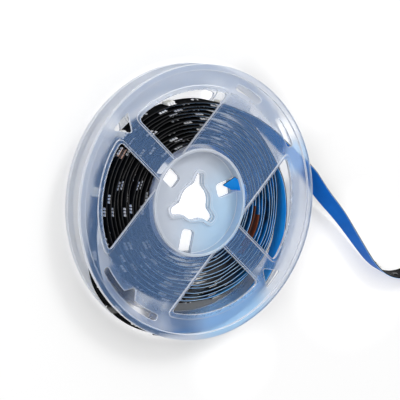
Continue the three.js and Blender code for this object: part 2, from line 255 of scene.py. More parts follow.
def catmull_rom(points, count):
    """Points at even distances along the centripetal Catmull-Rom curve through the given ones, with the
    curve's own parameter of each, from 0 to the number of spans."""
    points = np.array(points, float)
    ends = [2 * points[0] - points[1], *points, 2 * points[-1] - points[-2]]
    fine, params = [], []
    steps = 24
    for span in range(len(points) - 1):
        p0, p1, p2, p3 = ends[span:span + 4]
        d0, d1, d2 = (np.linalg.norm(b - a) ** 0.5 for a, b in ((p0, p1), (p1, p2), (p2, p3)))
        t1 = ((p1 - p0) / d0 - (p2 - p0) / (d0 + d1) + (p2 - p1) / d1) * d1
        t2 = ((p2 - p1) / d1 - (p3 - p1) / (d1 + d2) + (p3 - p2) / d2) * d1
        for step in range(steps + (span == len(points) - 2)):
            t = step / steps
            c2 = -3 * p1 + 3 * p2 - 2 * t1 - t2
            c3 = 2 * p1 - 2 * p2 + t1 + t2
            fine.append(p1 + t1 * t + c2 * t * t + c3 * t ** 3)
            params.append(span + t)
    fine = np.array(fine)
    lengths = np.concatenate([[0], np.cumsum(np.linalg.norm(np.diff(fine, axis=0), axis=1))])
    wanted = np.linspace(0, lengths[-1], count)
    even = np.stack([np.interp(wanted, lengths, fine[:, axis]) for axis in range(3)], axis=1)
    return even, np.interp(wanted, lengths, params)


def unit(vectors):
    """Each vector at a length of 1."""
    return vectors / np.linalg.norm(vectors, axis=-1, keepdims=True)


def tail_stations(count):
    """Point, outward normal, width direction and running direction along the free end, in metres."""
    points, params = catmull_rom([p[:3] for p in TAIL_ROUTE], count)
    along = unit(np.gradient(points, axis=0))
    turn = np.radians(np.interp(params, range(len(TAIL_ROUTE)), [p[3] for p in TAIL_ROUTE]))[:, None]
    flat = unit(np.stack([-along[:, 1], along[:, 0], np.zeros(count)], axis=1))
    upright = np.cross(along, flat)
    upright *= np.sign(upright[:, 2:])
    out = flat * np.cos(turn) + upright * np.sin(turn)
    across = upright * np.cos(turn) - flat * np.sin(turn)
    return points * MM, out, across, along


def wound_point(turned):
    """A point of the regular wound line, by how far it has turned clockwise from its start, in radians."""
    angle = -turned
    outer = WOUND_OUTER + WOUND_SHIFT[0] * math.cos(angle) + WOUND_SHIFT[1] * math.sin(angle)
    radius = INNER_TURN_RADIUS + (outer - INNER_TURN_RADIUS) * turned / (TURN_COUNT * 2 * math.pi)
    return [radius * math.cos(angle), radius * math.sin(angle), HALF_WIDTH]


def ring_point(radius, degrees):
    """A point half way between the flanges."""
    angle = math.radians(degrees)
    return [radius * math.cos(angle), radius * math.sin(angle), HALF_WIDTH]


def ramp(value, zero_at, one_at):
    """0 at and before zero_at, 1 at and beyond one_at, and even between. It may fall as well as rise."""
    return np.clip((value - zero_at) / (one_at - zero_at), 0, 1)


def smooth(share):
    return share * share * (3 - 2 * share)


def lobe(angle, middle, power, reach):
    """reach at the middle, in degrees, falling to 0 a quarter turn away."""
    return reach * np.clip(np.cos(angle - math.radians(middle)), 0, 1) ** power


def wander(kind, x, y, turns):
    """How far a tight turn strays, as the LEDs between the turns make it do, in millimetres."""
    scale, pace, (start_x, start_y), reach = kind
    return reach * noise.noise(Vector((x * scale + start_x, y * scale + start_y, pace * turns)))


def slack_point(turned, share=0.0):
    """A point of the wound line where its turns are slack. share is how much it wanders and bulges. The crown
    under the start of the free end is always there."""
    x, y, z = wound_point(turned)
    turns = turned / (2 * math.pi)
    slack = ramp(turns, *SLACK_TURNS)
    bulge = (lobe(-turned, *BULGE) + lobe(-turned, *DENT)) * ramp(turns, *BULGE_END) * slack
    outwards = wander(SLOW_WANDER, x, y, turns) + wander(FINE_WANDER, x, y, turns) + bulge
    grown = 1 + (share * outwards + lobe(-turned, *CROWN) * slack) / math.hypot(x, y)
    return [x * grown, y * grown, z + share * wander(LIFT_WANDER, x, y, turns)]


def lean_of(angles, turns, loose_start):
    """How far the strip leans at each station, in radians, with its rear edge outwards."""
    number = np.arange(len(angles))
    from_middle = angles - math.radians(LOOSE_LEAN_MIDDLE)
    apart = np.abs(np.arctan2(np.sin(from_middle), np.cos(from_middle)))
    loose = LOOSE_LEAN * smooth(ramp(apart, math.radians(LOOSE_LEAN_REACH), 0))
    start = ramp(turns, *LEAN_START)
    top = lobe(angles, *TOP_LEAN) * start * ramp(turns, *TOP_LEAN_END)
    bottom = lobe(angles, *BOTTOM_LEAN) * start
    tuck = TUCK_LEAN * smooth(ramp(number, TUCK_LEAN_STATIONS, 0))
    return np.radians(np.where(number >= loose_start, loose, bottom) + top + tuck)


def turns_at(points):
    """How many turns the wound strip has made at each point."""
    return -np.unwrap(np.arctan2(points[:, 1], points[:, 0])) / (2 * math.pi)


def roll_stations():
    """The same four for the wound strip, from its tucked end to where the free end leaves the reel, and the
    number of the first station of the loose turn."""
    wound_angle = TURN_COUNT * 2 * math.pi - math.radians(WOUND_END_ANGLE)
    guides = TURN_COUNT * GUIDE_STEPS_PER_TURN
    step = wound_angle / guides
    tuck, _ = catmull_rom(
        [ring_point(HUB_MOUTH + outside, angle) for angle, outside in TUCKED_END]
        + [wound_point(step * index) for index in range(JOIN_GUIDES)], TUCK_STATIONS)
    tight = []
    for index in range(JOIN_GUIDES * FINE_STEPS, (guides - JOIN_GUIDES) * FINE_STEPS):
        share = math.sin(math.pi * (index / (guides * FINE_STEPS))) ** WANDER_EASE
        tight.append(slack_point(step * index / FINE_STEPS, share))
    loose, _ = catmull_rom(
        [slack_point(step * index) for index in range(guides - JOIN_GUIDES, guides + 1)]
        + [ring_point(FLANGE_RADIUS - inset, angle) for angle, inset in LOOSE_TURN]
        + [[*TAIL_ROUTE[0][:2], HALF_WIDTH]], LOOSE_STATIONS)
    points = np.concatenate([tuck[:-1], tight, loose])
    along = unit(np.gradient(points, axis=0))
    out = unit(np.stack([-along[:, 1], along[:, 0], np.zeros(len(points))], axis=1))
    loose_start = len(tuck) - 1 + len(tight)
    lean = lean_of(np.arctan2(points[:, 1], points[:, 0]), turns_at(points), loose_start)[:, None]
    upright = np.array([0.0, 0.0, 1.0])
    across = upright * np.cos(lean) - out * np.sin(lean)
    out = out * np.cos(lean) + upright * np.sin(lean)
    return (points * MM, out, across, along), loose_start


# Meshes


def add_object(name, data, materials=()):
    """A new object of the scene."""
    obj = bpy.data.objects.new(name, data)
    for material in materials:
        obj.data.materials.append(material)
    scene.collection.objects.link(obj)
    return obj


def shade(mesh, sharp_angle=38):
    """Smooth shading, apart from edges that turn by more than the given angle."""
    bm = bmesh.new()
    bm.from_mesh(mesh)
    bmesh.ops.recalc_face_normals(bm, faces=bm.faces)
    limit = math.radians(sharp_angle)
    for face in bm.faces:
        face.smooth = True
    for edge in bm.edges:
        edge.smooth = len(edge.link_faces) == 2 and edge.calc_face_angle(0) < limit
    bm.to_mesh(mesh)
    bm.free()


def sweep(name, stations, profile, face_material=None):
    """A closed ribbon. The profile's corners are (outwards, across) in millimetres from the stations, and
    face_material gives a face's material number by station and side."""
    points, out, across, _ = stations
    count, sides = len(points), len(profile)
    rows = [points + out * (o * MM) + across * (a * MM) for o, a in profile]
    corners = np.stack(rows, axis=1).reshape(-1, 3)
    faces, marks = [], []
    for index in range(count - 1):
        for side in range(sides):
            a, b = sides * index + side, sides * index + (side + 1) % sides
            faces.append((a, b, b + sides, a + sides))
            marks.append(face_material(index, side) if face_material else 0)
    faces += [tuple(range(sides)), tuple(range(sides * (count - 1), sides * count))]
    marks += [0, 0]
    mesh = bpy.data.meshes.new(name)
    mesh.from_pydata(corners.tolist(), [], faces)
    mesh.polygons.foreach_set("material_index", marks)
    shade(mesh)
    return mesh


def band_profile(low, high, width, chamfer):
    """A flat band's cross-section with small chamfers."""
    half = width / 2
    return [
        (low, -half + chamfer), (low + chamfer, -half), (high - chamfer, -half), (high, -half + chamfer),
        (high, half - chamfer), (high - chamfer, half), (low + chamfer, half), (low, half - chamfer),
    ]


# Materials

# Noise stays mostly between these two values
NOISE_LOW = 0.3
NOISE_HIGH = 0.7


class Nodes:
    """Short ways to make and link the nodes of one tree."""

    def __init__(self, tree):
        self.tree = tree
        self.places = self.node("ShaderNodeTexCoord").outputs

    def put(self, value, socket):
        """Links an output to the socket, or sets the socket's own value."""
        if isinstance(value, bpy.types.NodeSocket):
            self.tree.links.new(value, socket)
        else:
            socket.default_value = value

    def node(self, kind, inputs=(), **settings):
        """A new node with these settings and these inputs, by name or number."""
        made = self.tree.nodes.new(kind)
        for setting, value in settings.items():
            setattr(made, setting, value)
        for socket, value in dict(inputs).items():
            self.put(value, made.inputs[socket])
        return made

    def number(self, operation, *values, **settings):
        """The result of a Math node."""
        return self.node("ShaderNodeMath", enumerate(values), operation=operation, **settings).outputs[0]

    def vector(self, operation, *values):
        """The outputs of a Vector Math node."""
        return self.node("ShaderNodeVectorMath", enumerate(values), operation=operation).outputs

    def spread(self, source, from_low, from_high, low, high, **settings):
        """The source, taken from one range of values to another."""
        inputs = {"Value": source, "From Min": from_low, "From Max": from_high, "To Min": low, "To Max": high}
        return self.node("ShaderNodeMapRange", inputs, **settings).outputs["Result"]

    def fade(self, centre, inner, outer, near, far):
        """From near within the inner radius round the centre to far beyond the outer one, in millimetres."""
        distance = self.vector("DISTANCE", self.places["Object"], [c * MM for c in centre])["Value"]
        return self.spread(distance, inner * MM, outer * MM, near, far, interpolation_type="SMOOTHSTEP")


class Looks(Nodes):
    """A node material around one Principled shader."""

    def __init__(self, name, **values):
        self.material = bpy.data.materials.new(name)
        self.material.use_nodes = True
        super().__init__(self.material.node_tree)
        self.shader = self.tree.nodes["Principled BSDF"]
        for socket, value in values.items():
            self.shader.inputs[socket.replace("_", " ")].default_value = value

    def noise(self, scale, detail=3, roughness=0.5, place=None):
        """Noise over the piece, or over the vector that is given as its place."""
        inputs = {"Scale": scale, "Detail": detail, "Roughness": roughness}
        inputs["Vector"] = self.places["Object"] if place is None else place
        return self.node("ShaderNodeTexNoise", inputs).outputs["Fac"]

    def turn_noise(self, along, apart):
        """Noise that changes slowly along a turn of the roll and fast from one turn to the next."""
        flat = self.vector("MULTIPLY", self.places["Object"], (1, 1, 0))["Vector"]
        depth = self.number("MULTIPLY", self.vector("LENGTH", flat)["Value"], apart)
        way = self.node("ShaderNodeSeparateXYZ", {"Vector": self.vector("NORMALIZE", flat)["Vector"]}).outputs
        x, y = (self.number("MULTIPLY", way[axis], along) for axis in "XY")
        place = self.node("ShaderNodeCombineXYZ", {"X": x, "Y": y, "Z": depth}).outputs["Vector"]
        return self.noise(1, 2, place=place)

    def colour(self, source, dark, light, spots=(), stops=(NOISE_LOW, NOISE_HIGH)):
        """A base colour between dark and light. Each spot is a centre, an inner and an outer radius in
        millimetres and the colour that takes over there."""
        mapped = self.node("ShaderNodeValToRGB", {"Fac": source})
        for element, stop, colour in zip(mapped.color_ramp.elements, stops, (dark, light)):
            element.position = stop
            element.color = (*colour, 1)
        shown = mapped.outputs["Color"]
        for centre, inner, outer, colour in spots:
            inputs = {"Factor": self.fade(centre, inner, outer, 1, 0), 6: shown, 7: (*colour, 1)}
            shown = self.node("ShaderNodeMix", inputs, data_type="RGBA").outputs[2]
        self.put(shown, self.shader.inputs["Base Color"])

    def vary(self, socket, source, low, high):
        """Links a socket of the shader to noise, spread from low to high."""
        self.put(self.spread(source, NOISE_LOW, NOISE_HIGH, low, high), self.shader.inputs[socket])

    def bump(self, source, distance, strength):
        inputs = {"Height": source, "Distance": distance, "Strength": strength}
        self.put(self.node("ShaderNodeBump", inputs).outputs["Normal"], self.shader.inputs["Normal"])


# The plastic gets rougher from the first to the second of these radii, by the third number
RIM_HAZE = (WINDOW_RADIUS, 66, 0.12)
# The rim bead starts between these radii
BEAD_START = (70, 72.5)
CLEARNESS_CHANGE = 0.01


def milky_plastic(name, dark, light, clear, gloss, haze, tint, spots=(), lit=0.0):
    """Translucent moulded polypropylene: milky, slightly cloudy, with a fine matt grain and bluish scatter.
    lit is how much less clear its spots are made inside the rim bead. With the spots' colour this is a
    painted blue glow, standing in for light from the blue liner close behind them."""
    looks = Looks(name, Specular_IOR_Level=gloss, IOR=1.45, Specular_Tint=(*tint, 1),
                  Sheen_Weight=haze, Sheen_Roughness=0.85, Sheen_Tint=(0.16, 0.44, 1.0, 1))
    looks.colour(looks.noise(55, 4, 0.6), dark, light, spots)
    low, high = clear - CLEARNESS_CHANGE, clear + CLEARNESS_CHANGE
    clearness = looks.spread(looks.noise(38), NOISE_LOW, NOISE_HIGH, low, high)
    for centre, inner, outer, _ in spots if lit else ():
        in_spot = looks.fade(centre, inner, outer, -lit, 0)
        in_bead = looks.fade((0, 0, centre[2]), *BEAD_START, -lit, 0)
        clearness = looks.number("ADD", clearness, looks.number("MAXIMUM", in_spot, in_bead))
    looks.put(clearness, looks.shader.inputs["Transmission Weight"])
    inner, outer, rise = RIM_HAZE
    grain = looks.spread(looks.noise(220), NOISE_LOW, NOISE_HIGH, 0.17, 0.25)
    roughness = looks.number("ADD", grain, looks.fade((0, 0, 0), inner, outer, 0, rise))
    looks.put(roughness, looks.shader.inputs["Roughness"])
    looks.bump(looks.noise(1500, 2), 0.00002, 0.5)
    return looks.material


# Its spots are painted light: a light-blue glow where the blue liner close behind would light the milky
# plastic, at the bottom and at the right where the free end leaves.
reel_face = milky_plastic(
    "reel_plastic", (0.84, 0.835, 0.81), (0.90, 0.89, 0.865), clear=0.975, gloss=1.0, haze=0.36,
    tint=(0.16, 0.40, 1.0), lit=0.26, spots=[
        ((22, -64, 14.5), 13, 32, (0.56, 0.80, 1.0)),
        ((65, 21, 14.5), 5, 13, (0.68, 0.85, 1.0)),
    ])
# The hub's spot is painted light: a light-blue glow on its right side, standing in for light from the blue
# liner close behind the wall.
reel_hub = milky_plastic(
    "reel_plastic_hub", (0.77, 0.80, 0.85), (0.82, 0.85, 0.90), clear=0.55, gloss=0.8, haze=0.1,
    tint=(0.5, 0.7, 1.0), spots=[((27, -16, 8), 12, 46, (0.68, 0.86, 1.0))])
# Bevels and side faces are whiter and less clear: partly the plastic's thickness seen edge-on, partly a
# painted highlight along the edges.
reel_edge = milky_plastic(
    "reel_plastic_edge", (0.86, 0.89, 0.95), (0.93, 0.95, 1.0), clear=0.45, gloss=0.8, haze=0.0,
    tint=(0.8, 0.9, 1.0))


def strip_plastic(name, gloss):
    """The black solder mask of the strip, a little uneven."""
    looks = Looks(name, Specular_IOR_Level=gloss)
    looks.colour(looks.noise(160), (0.0035, 0.0038, 0.0042), (0.012, 0.0125, 0.0135))
    looks.vary("Roughness", looks.noise(420), 0.45, 0.65)
    looks.bump(looks.noise(700, 3, 0.6), 0.00004, 0.5)
    return looks.material


def liner_plastic(name, dark, light, spots=(), banded=None):
    """The glossy blue film that backs the strip, a little creased. A banded one changes its colour from turn
    to turn."""
    looks = Looks(name, Specular_IOR_Level=0.08)
    looks.colour(looks.turn_noise(*banded) if banded else looks.noise(70, 4), dark, light, spots)
    looks.vary("Roughness", looks.noise(300), 0.36, 0.48)
    looks.bump(looks.noise(260), 0.00006, 0.4)
    return looks.material


strip_black = strip_plastic("strip_black", 0.05)
strip_wound = strip_plastic("strip_black_wound", 0.0)
# The free end's spot is painted light: a lighter blue where it runs under the flange rim.
liner_blue = liner_plastic("liner_blue", (0.001, 0.115, 0.50), (0.002, 0.145, 0.61), [
    ((60, 27, 8), 12, 26, (0.012, 0.30, 1.0)),
])
# Painted light: the wound liner is a lighter copy of the free end's blue, standing in for light that reaches
# it between the flanges. Its spots are painted glow, lighter still at the bottom of the loose turn and by the
# tucked end.
liner_wound = liner_plastic("liner_blue_wound", (0.003, 0.27, 0.94), (0.009, 0.35, 1.0), [
    ((28, -70, 8), 14, 46, (0.13, 0.50, 1.0)),
    ((22, 6, 8), 5, 8, (0.02, 0.36, 1.0)),
])
# Painted shade: the liner between the tight turns is painted black in stretches that change from turn to
# turn. It is darker still in a patch in the bottom window, and a spot near its right end lifts it back to
# light blue.
liner_shaded = liner_plastic("liner_shaded", (0.002, 0.004, 0.010), (0.003, 0.28, 0.98), [
    ((16, -50, 8), 12, 42, (0.004, 0.014, 0.04)),
    ((37, -52, 8), 4, 17, (0.01, 0.34, 1.0)),
], banded=(2.6, 620))

# The strip's cut edges are black with lighter grey-brown patches: partly the edge's own tone, partly painted
# glints.
cut_edge = Looks("strip_edge", Specular_IOR_Level=0.3)
cut_edge.colour(cut_edge.noise(80, 4, 0.7), (0.004, 0.0045, 0.006), (0.04, 0.036, 0.035), stops=(0.50, 0.72))
cut_edge.vary("Roughness", cut_edge.noise(420), 0.35, 0.55)
strip_edge = cut_edge.material


def grained(name, detail, colour, roughness, **values):
    """A plain material with a grain. colour is the scale of its noise, the dark and the light colour, and
    roughness the scale of its noise, the lowest and the highest value."""
    looks = Looks(name, **values)
    scale, dark, light = colour
    looks.colour(looks.noise(scale, detail), dark, light)
    scale, low, high = roughness
    looks.vary("Roughness", looks.noise(scale, detail), low, high)
    return looks.material


liner_cut_edge = grained(
    "liner_cut_edge", 3, (120, (0.16, 0.42, 0.86), (0.50, 0.72, 0.96)), (300, 0.3, 0.45),
    Specular_IOR_Level=0.4)
film_brown = grained(
    "film_brown", 3, (200, (0.10, 0.018, 0.006), (0.19, 0.040, 0.014)), (300, 0.3, 0.45),
    Specular_IOR_Level=0.3)
led_case = grained("led_case", 2, (900, (0.72, 0.71, 0.66), (0.86, 0.85, 0.80)), (900, 0.28, 0.42))
# The same LED case painted dark: painted shade for the packages that lie between the turns.
led_case_shaded = grained(
    "led_case_shaded", 2, (900, (0.006, 0.0065, 0.007), (0.014, 0.0145, 0.015)), (900, 0.22, 0.36))
led_lens = grained(
    "led_lens", 2, (700, (0.60, 0.58, 0.46), (0.74, 0.72, 0.60)), (900, 0.1, 0.2),
    Coat_Weight=0.6, Coat_Roughness=0.08)
solder = grained("solder", 2, (1800, (0.80, 0.81, 0.83), (0.94, 0.94, 0.95)), (1500, 0.2, 0.4), Metallic=0.4)
solder_dull = grained(
    "solder_dull", 2, (1800, (0.10, 0.105, 0.11), (0.22, 0.23, 0.24)), (1500, 0.35, 0.5), Metallic=0.8)
copper_pad = grained(
    "copper_pad", 2, (900, (1.0, 0.52, 0.34), (1.0, 0.72, 0.56)), (1200, 0.28, 0.45), Specular_IOR_Level=0.6)
chip_black = grained(
    "resistor_black", 2, (900, (0.010, 0.010, 0.011), (0.022, 0.022, 0.024)), (900, 0.3, 0.5))


# The free end of the strip comes first, with its liner and the parts on it

STRIP_HALF = STRIP_THICKNESS / 2
LINER_TOP = -STRIP_HALF - LINER_SEAT
strip_profile = band_profile(-STRIP_HALF, STRIP_HALF, STRIP_WIDTH, STRIP_CHAMFER)
liner_profile, wound_liner_profile = (
    band_profile(LINER_TOP - LINER_THICKNESS, LINER_TOP, width, LINER_CHAMFER)
    for width in (TAIL_LINER_WIDTH, WOUND_LINER_WIDTH))
# The sides of a band's profile that aren't its two faces
CUT_SIDES = (0, 1, 2, 4, 5, 6)

tail = tail_stations(TAIL_STATIONS)


def edge_marks(index, side):
    """Material number 1 for the narrow sides of a band, 0 for its two faces."""
    return int(side in CUT_SIDES)


def add_band(name, stations, profile, materials, face_material=None):
    return add_object(name, sweep(name, stations, profile, face_material), materials)


strip_tail = add_band("strip_tail", tail, strip_profile, [strip_black])
liner_tail = add_band("liner_tail_film", tail, liner_profile, [liner_blue, liner_cut_edge], edge_marks)


def rounded_box(length, width, height, bevel, base=0.0):
    """The vertices and faces of a box with bevelled edges that stands at its base."""
    bm = bmesh.new()
    bmesh.ops.create_cube(bm, size=1)
    bmesh.ops.scale(bm, vec=(length, width, height), verts=bm.verts)
    bmesh.ops.translate(bm, vec=(0, 0, base + height / 2), verts=bm.verts)
    bmesh.ops.bevel(bm, geom=bm.edges, offset=bevel, segments=2, affect="EDGES", profile=0.6)
    return take(bm)


def take(bm):
    """The vertices and faces of a bmesh, which is freed."""
    bm.verts.ensure_lookup_table()
    vertices = [tuple(v.co) for v in bm.verts]
    faces = [tuple(v.index for v in f.verts) for f in bm.faces]
    bm.free()
    return vertices, faces


def dome(radius, height, base, segments=20):
    """A shallow round lens."""
    bm = bmesh.new()
    loops = []
    for share, rise in LENS_RINGS:
        loops.append([
            bm.verts.new((radius * share * math.cos(a), radius * share * math.sin(a), base + height * rise))
            for a in (2 * math.pi * k / segments for k in range(segments))
        ])
    for below, above in zip(loops, loops[1:]):
        for k in range(segments):
            bm.faces.new((below[k], below[(k + 1) % segments], above[(k + 1) % segments], above[k]))
    bm.faces.new(loops[-1])
    bm.faces.new(loops[0][::-1])
    bm.verts.index_update()
    return take(bm)


def shifted(part, x, y):
    vertices, faces = part
    return [(a + x, b + y, c) for a, b, c in vertices], faces


def gather(parts):
    """Several (vertices, faces) with their material numbers as one."""
    vertices, faces, marks = [], [], []
    for (part_vertices, part_faces), mark in parts:
        start = len(vertices)
        vertices += part_vertices
        faces += [tuple(i + start for i in face) for face in part_faces]
        marks += [mark] * len(part_faces)
    return np.array(vertices, float), faces, marks


def led_part(height, lit=True):
    """One square LED package with six soldered feet, in millimetres, on the strip's face."""
    parts = [(rounded_box(LED_SIDE, LED_SIDE, height - LED_CLEARANCE, LED_BEVEL, LED_CLEARANCE), 0)]
    if lit:
        parts.append((dome(LENS_RADIUS, LENS_HEIGHT, height - LENS_SINK), 1))
    foot = rounded_box(FOOT_LENGTH, FOOT_WIDTH, FOOT_HEIGHT_SHARE * height, FOOT_BEVEL)
    for side in (-1, 1):
        for row in (-1, 0, 1):
            parts.append((shifted(foot, row * FOOT_PITCH, side * FOOT_REACH), 2))
            parts.append((shifted(rounded_box(*FILLET), row * FOOT_PITCH, side * FILLET_REACH), 2))
    return gather(parts)


def chip_part():
    """A chip resistor with a cap and a low solder fillet at each end."""
    parts = [(rounded_box(*CHIP_BODY), 0)]
    for box, reach in ((CHIP_CAP, CHIP_CAP_REACH), (CHIP_SOLDER, CHIP_SOLDER_REACH)):
        for side in (1, -1):
            parts.append((shifted(rounded_box(*box), side * reach, 0), 1))
    return gather(parts)


def pads_part():
    """Four pairs of copper cutting pads."""
    return gather([
        (shifted(rounded_box(*PAD), side * PAD_REACH, row * PAD_ROW), 0)
        for row in (-3, -1, 1, 3) for side in (-1, 1)
    ])


class Route:
    """Places along a line of stations, by distance in millimetres from its start."""

    def __init__(self, stations):
        self.points, self.out, _, _ = stations
        steps = np.linalg.norm(np.diff(self.points, axis=0), axis=1)
        self.lengths = np.concatenate([[0], np.cumsum(steps)]) / MM
        self.total = float(self.lengths[-1])

    def at(self, rows, distance):
        return np.array([np.interp(distance, self.lengths, rows[:, axis]) for axis in range(3)])

    def place(self, distance):
        """The point there, and the directions along the line, across it and out of it."""
        ahead, behind = (self.at(self.points, distance + step) for step in (1, -1))
        along = unit(ahead - behind)
        across = unit(np.cross(unit(self.at(self.out, distance)), along))
        return self.at(self.points, distance), along, across, np.cross(along, across)


def scatter(name, route, distances, part, materials):
    """Copies of a part, in millimetres, seated on the outward face at each distance, as one mesh."""
    vertices, faces, marks = part
    x, y, z = (vertices[:, axis:axis + 1] * MM for axis in range(3))
    all_vertices, all_faces, all_marks = [], [], []
    for distance in distances:
        point, along, across, normal = route.place(distance)
        placed = point + x * along + y * across + (z + STRIP_HALF * MM) * normal
        start = len(all_vertices)
        all_vertices += placed.tolist()
        all_faces += [tuple(i + start for i in face) for face in faces]
        all_marks += marks
    mesh = bpy.data.meshes.new(name)
    mesh.from_pydata(all_vertices, [], all_faces)
    mesh.polygons.foreach_set("material_index", all_marks)
    shade(mesh, 50)
    return add_object(name, mesh, materials)


def nodes_named(start):
    return sorted(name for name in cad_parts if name.startswith(start))


def dress(piece, stands_for=()):
    """A piece rides on the one body and may stand for CAD nodes, which it hides."""
    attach(piece, "root")
    if stands_for:
        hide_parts(*stands_for)


tail_route = Route(tail)
tail_led_at = [TAIL_FIRST_LED + LED_PITCH * k for k in range(TAIL_LED_COUNT)]
tail_chip_at = [distance + LED_PITCH / 2 for distance in tail_led_at]
tail_pads_at = [*TAIL_PADS_AT, tail_route.total - END_PADS_INSET]
led_lit = [led_case, led_lens, solder]
led_shaded = [led_case_shaded, led_lens, solder]
tail_leds = scatter("tail_leds", tail_route, tail_led_at, led_part(LED_HEIGHT), led_lit)
tail_chips = scatter("tail_resistors", tail_route, tail_chip_at, chip_part(), [chip_black, solder_dull])
tail_pads = scatter("tail_pads", tail_route, tail_pads_at, pads_part(), [copper_pad])
dress(strip_tail, ["led_strip_tail"])
dress(liner_tail, ["liner_tail"])
dress(tail_leds, nodes_named("tail_led_"))
dress(tail_chips, nodes_named("tail_resistor_"))
dress(tail_pads)


# The roll

roll, loose_start = roll_stations()
roll_route = Route(roll)
roll_turns = turns_at(roll[0])


def liner_stations():
    """The liner sits a little lower on one side of the roll and higher on the other."""
    points, out, across, along = roll
    angle = -roll_turns * 2 * math.pi
    offset = LINER_OFFSET + LINER_TILT * np.cos(angle - math.radians(LINER_HIGH_SIDE))
    return points + across * (offset * MM)[:, None], out, across, along


def liner_marks(index, side):
    """As edge_marks, with number 2 where brown film takes the liner's place, and 3 for its faces between the
    tight turns, which are painted black in stretches as shade."""
    turns = roll_turns[index]
    if any(start < turns < end for start, end in FILM_TURNS):
        return 2
    if side not in CUT_SIDES and SHADED_TURNS[0] < turns < SHADED_TURNS[1]:
        return 3
    return edge_marks(index, side)


strip_turns = add_band("strip_turns", roll, strip_profile, [strip_wound, strip_edge], edge_marks)
liner_turns = add_band(
    "liner_turns", liner_stations(), wound_liner_profile,
    [liner_wound, liner_cut_edge, film_brown, liner_shaded], liner_marks)
dress(strip_turns, ["led_strip_roll"])
dress(liner_turns, ["liner_roll"])

loose_from = roll_route.lengths[loose_start]
first_led = loose_from + (roll_route.total - loose_from) / LOOSE_STEPS + FIRST_TURN_LED
loose_leds = list(np.arange(first_led, roll_route.total - LED_SIDE, LED_PITCH))
tight_leds = list(np.arange(first_led - LED_PITCH, INNER_LED_LIMIT, -LED_PITCH))
chips_at = [distance + LED_PITCH / 2 for distance in tight_leds + loose_leds[:-1]]
pads_at = list(np.interp(PAD_TURNS, roll_turns, roll_route.lengths))
led_nodes = nodes_named("turn_led_")
chip_nodes = nodes_named("turn_resistor_")
# The first LEDs of the loose turn get the dark case of painted shade, like the wound ones.
shaded_at = loose_leds[:SHADED_LEDS]
outer_at = loose_leds[SHADED_LEDS:]
for name, material_slot, distances, part, materials, stands_for in (
    ("turn_leds_wound", "led", tight_leds, led_part(WOUND_LED_HEIGHT, lit=False), led_shaded, []),
    ("turn_leds_shaded", "led", shaded_at, led_part(LED_HEIGHT, lit=False), led_shaded, led_nodes[:SHADED_LEDS]),
    ("turn_leds_outer", "led", outer_at, led_part(LED_HEIGHT), led_lit, led_nodes[SHADED_LEDS:]),
    ("turn_resistors", "resistor", chips_at, chip_part(), [chip_black, solder], chip_nodes),
    ("turn_pads", "strip", pads_at, pads_part(), [copper_pad], []),
):
    dress(scatter(name, roll_route, distances, part, materials), stands_for)


# The reel's two halves


def polar(radius, angle):
    return Vector((radius * math.cos(angle), radius * math.sin(angle)))


def arc(radius, start, end, step=ARC_STEP):
    """Points from one angle to another, at most a step in degrees apart."""
    count = max(1, math.ceil(abs(end - start) / math.radians(step)))
    return [polar(radius, start + (end - start) * k / count) for k in range(count + 1)]


def circle(radius):
    return arc(radius, 0, 2 * math.pi)[:-1]


def rounded(corners, steps=7):
    """A polygon whose corners are rounded with small arcs. Each corner is (point, radius)."""
    points = []
    for index, (point, radius) in enumerate(corners):
        before = corners[index - 1][0]
        after = corners[(index + 1) % len(corners)][0]
        if radius == 0:
            points.append(point)
            continue
        to_before = (before - point).normalized()
        to_after = (after - point).normalized()
        half = math.acos(max(-1, min(1, to_before.dot(to_after)))) / 2
        shortest = min((before - point).length, (after - point).length) / 2
        back = min(radius / math.tan(half), shortest)
        start, end = point + to_before * back, point + to_after * back
        for step in range(steps + 1):
            t = step / steps
            points.append(start.lerp(point, t).lerp(point.lerp(end, t), t))
    return points


def window_outline(sign_x, sign_y, arc_growth, side_growth, corner):
    """One of the four windows between the spokes and the wide band, by the signs of its quarter."""
    radius = WINDOW_RADIUS + arc_growth
    near_x = BAND_HALF_WIDTH - side_growth
    near_y = SPOKE_HALF_WIDTH - side_growth
    line = arc(radius, math.asin(near_y / radius), math.acos(near_x / radius))
    first, final = line[0], line[-1]
    room = CORNER_ROOM * corner
    between = [p for p in line if (p - first).length > room and (p - final).length > room]
    corners = [(first, corner)] + [(p, 0) for p in between] + [(final, corner)]
    corners.append((Vector((near_x, near_y)), WINDOW_CORNER))
    points = [Vector((sign_x * p.x, sign_y * p.y)) for p in rounded(corners)]
    return points if sign_x * sign_y > 0 else points[::-1]


def slot_end(middle, angle, sign):
    """The round end of a rim slot."""
    base = middle + angle
    centre = polar((SLOT_OUTER + SLOT_INNER) / 2, base)
    radius = (SLOT_OUTER - SLOT_INNER) / 2
    turn = math.pi / 2 * sign
    return [centre + polar(radius, base + turn * k / 4) for k in range(1, 8)]


def slot_outline(middle, start, end, notch=False):
    """A slot along the rim. It may have a notch towards the hub, which lies on +Y."""
    cap = (SLOT_OUTER - SLOT_INNER) / 2 / SLOT_OUTER
    first = middle + start + cap
    final = middle + end - cap
    points = arc(SLOT_OUTER, first, final) + slot_end(middle, end - cap, 1)
    if notch:
        half = math.asin(NOTCH_HALF_WIDTH / SLOT_INNER)
        tip = SLOT_INNER - NOTCH_DEPTH
        points += arc(SLOT_INNER, final, middle + half)
        points += [Vector((-NOTCH_TIP_HALF_WIDTH, tip)), Vector((NOTCH_TIP_HALF_WIDTH, tip))]
        points += arc(SLOT_INNER, middle - half, first)
    else:
        points += arc(SLOT_INNER, final, first)
    return points + slot_end(middle, start + cap, -1)[::-1]


